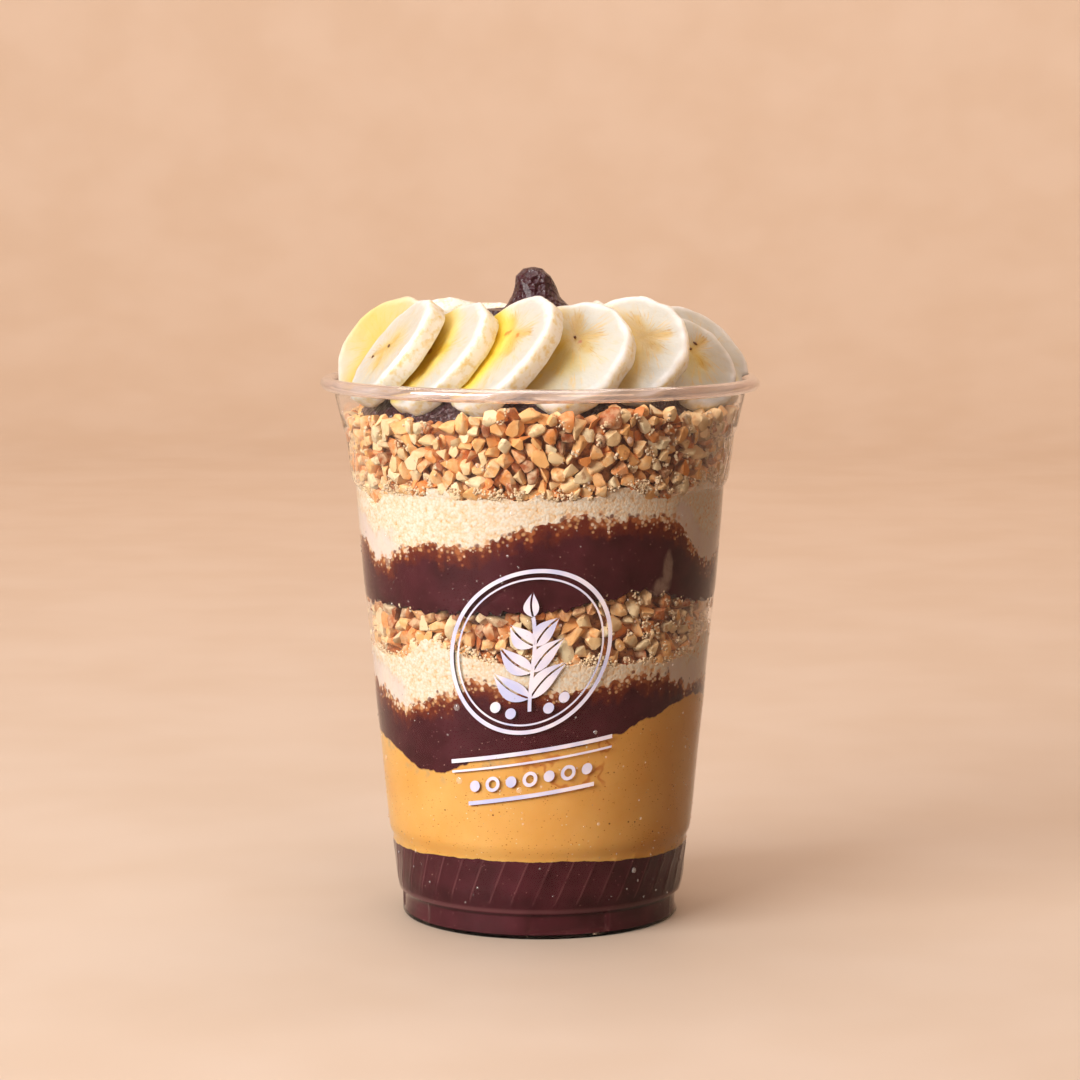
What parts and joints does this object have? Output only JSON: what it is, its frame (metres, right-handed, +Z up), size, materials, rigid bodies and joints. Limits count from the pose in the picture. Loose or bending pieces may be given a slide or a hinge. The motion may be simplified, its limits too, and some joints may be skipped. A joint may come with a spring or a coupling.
{
  "type": "acai bowl in a clear cup",
  "caption": "Layered acai dessert in a clear plastic cup, with peanut butter, milk powder, chopped nuts, a swirled acai tip and a ring of banana slices.",
  "frame": {"origin": "middle of the cup's foot, on the surface that it stands on", "axes": "+Z up along the cup's axis, -Y towards the side shown in the picture, +X to the right in it"},
  "size_m": [0.0978, 0.0978, 0.1454],
  "materials": {
    "cup_plastic": "clear and glossy",
    "acai": "smooth frozen puree, moist",
    "peanut_butter": "creamy and soft",
    "milk_powder": "dry powder, matt",
    "nuts": "roasted chopped nuts",
    "banana": "moist cut fruit"
  },
  "bodies": {
    "root": {"cup": "cup_plastic", "acai_base": "acai", "peanut_butter": "peanut_butter", "acai_lower": "acai", "powder_lower": "milk_powder", "nuts_lower": "nuts", "acai_middle": "acai", "powder_upper": "milk_powder", "nuts_upper": "nuts", "acai_top": "acai", "banana_01": "banana", "banana_02": "banana", "banana_03": "banana", "banana_04": "banana", "banana_05": "banana", "banana_06": "banana", "banana_07": "banana", "banana_08": "banana", "banana_09": "banana", "banana_10": "banana", "banana_11": "banana", "banana_12": "banana", "banana_13": "banana", "banana_14": "banana"}
  },
  "joints": []
}
